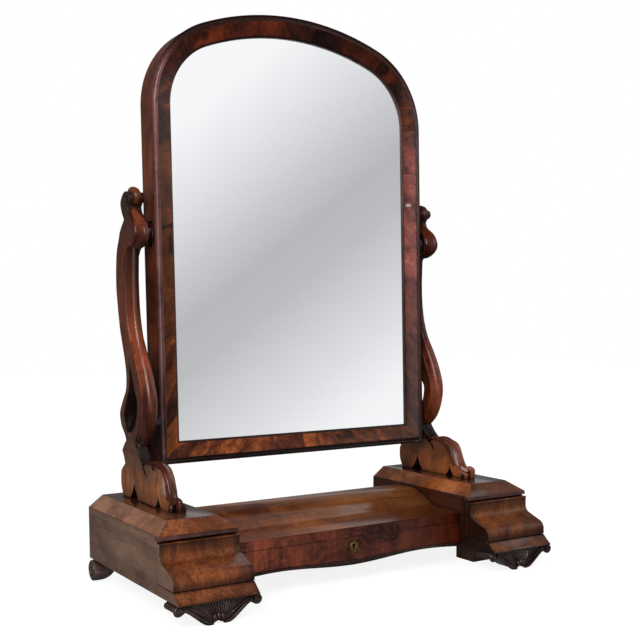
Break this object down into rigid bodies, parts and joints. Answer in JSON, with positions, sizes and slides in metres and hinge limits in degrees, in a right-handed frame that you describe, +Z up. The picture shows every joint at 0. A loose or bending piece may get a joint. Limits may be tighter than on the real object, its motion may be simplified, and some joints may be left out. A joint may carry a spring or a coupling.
{
  "type": "dressing table mirror",
  "caption": "Round-arched swing mirror between carved scroll uprights, on ogee-fronted drawer boxes joined by a low centre platform with a locking drawer.",
  "frame": {"origin": "on the floor, under the middle of the stand's width and depth", "axes": "+X to the viewer's right, +Y to the back, +Z up; the glass and drawers face -Y"},
  "size_m": [0.711, 0.349, 0.9329],
  "materials": {
    "mahogany": "gloss",
    "dark_mahogany": "gloss",
    "pine": "matte",
    "brass": "satin",
    "steel": "satin",
    "mirror_glass": "polished"
  },
  "bodies": {
    "base": {"left_box_outer_side": "mahogany", "left_box_inner_side": "mahogany", "left_box_back": "pine", "left_box_bottom": "pine", "left_box_plinth": "mahogany", "left_box_lip": "dark_mahogany", "left_box_top": "mahogany", "left_front_foot": "dark_mahogany", "left_rear_foot": "dark_mahogany", "left_foot_block": "mahogany", "left_upright": "dark_mahogany", "left_pivot_boss": "dark_mahogany", "left_pivot_socket": "brass", "right_box_outer_side": "mahogany", "right_box_inner_side": "mahogany", "right_box_back": "pine", "right_box_bottom": "pine", "right_box_plinth": "mahogany", "right_box_lip": "dark_mahogany", "right_box_top": "mahogany", "right_front_foot": "dark_mahogany", "right_rear_foot": "dark_mahogany", "right_foot_block": "mahogany", "right_upright": "dark_mahogany", "right_pivot_boss": "dark_mahogany", "right_pivot_socket": "brass", "upright_screws": "steel", "platform_top": "mahogany", "platform_back": "pine", "platform_dust_board": "pine", "platform_apron_rail": "mahogany"},
    "mirror": {"mirror_left_stile": "mahogany", "mirror_right_stile": "mahogany", "mirror_arch": "mahogany", "mirror_bottom_rail": "mahogany", "mirror_glass": "mirror_glass", "mirror_backboard": "pine", "glass_blocks": "pine", "backboard_screws": "steel", "left_pivot_plate": "brass", "right_pivot_plate": "brass"},
    "left_drawer": {"left_drawer_front": "mahogany", "left_drawer_outer_side": "pine", "left_drawer_inner_side": "pine", "left_drawer_back": "pine", "left_drawer_bottom": "pine"},
    "right_drawer": {"right_drawer_front": "mahogany", "right_drawer_outer_side": "pine", "right_drawer_inner_side": "pine", "right_drawer_back": "pine", "right_drawer_bottom": "pine"},
    "centre_drawer": {"centre_drawer_front": "mahogany", "centre_drawer_left_side": "pine", "centre_drawer_right_side": "pine", "centre_drawer_back": "pine", "centre_drawer_bottom": "pine", "escutcheon": "brass", "lock_case": "brass"},
    "lock_bolt": {"lock_bolt": "steel"}
  },
  "joints": [
    {"name": "mirror_tilt", "type": "hinge", "parent": "base", "child": "mirror", "pos_m": [0, 0.103, 0.562], "axis": [1, 0, 0], "range_deg": [-90, 90]},
    {"name": "left_drawer_slide", "type": "slide", "parent": "base", "child": "left_drawer", "axis": [0, -1, 0], "range_m": [0, 0.2]},
    {"name": "right_drawer_slide", "type": "slide", "parent": "base", "child": "right_drawer", "axis": [0, -1, 0], "range_m": [0, 0.2]},
    {"name": "centre_drawer_slide", "type": "slide", "parent": "base", "child": "centre_drawer", "axis": [0, -1, 0], "range_m": [0, 0.115]},
    {"name": "lock_bolt_throw", "type": "slide", "parent": "centre_drawer", "child": "lock_bolt", "axis": [0, 0, 1], "range_m": [0, 0.005]}
  ]
}
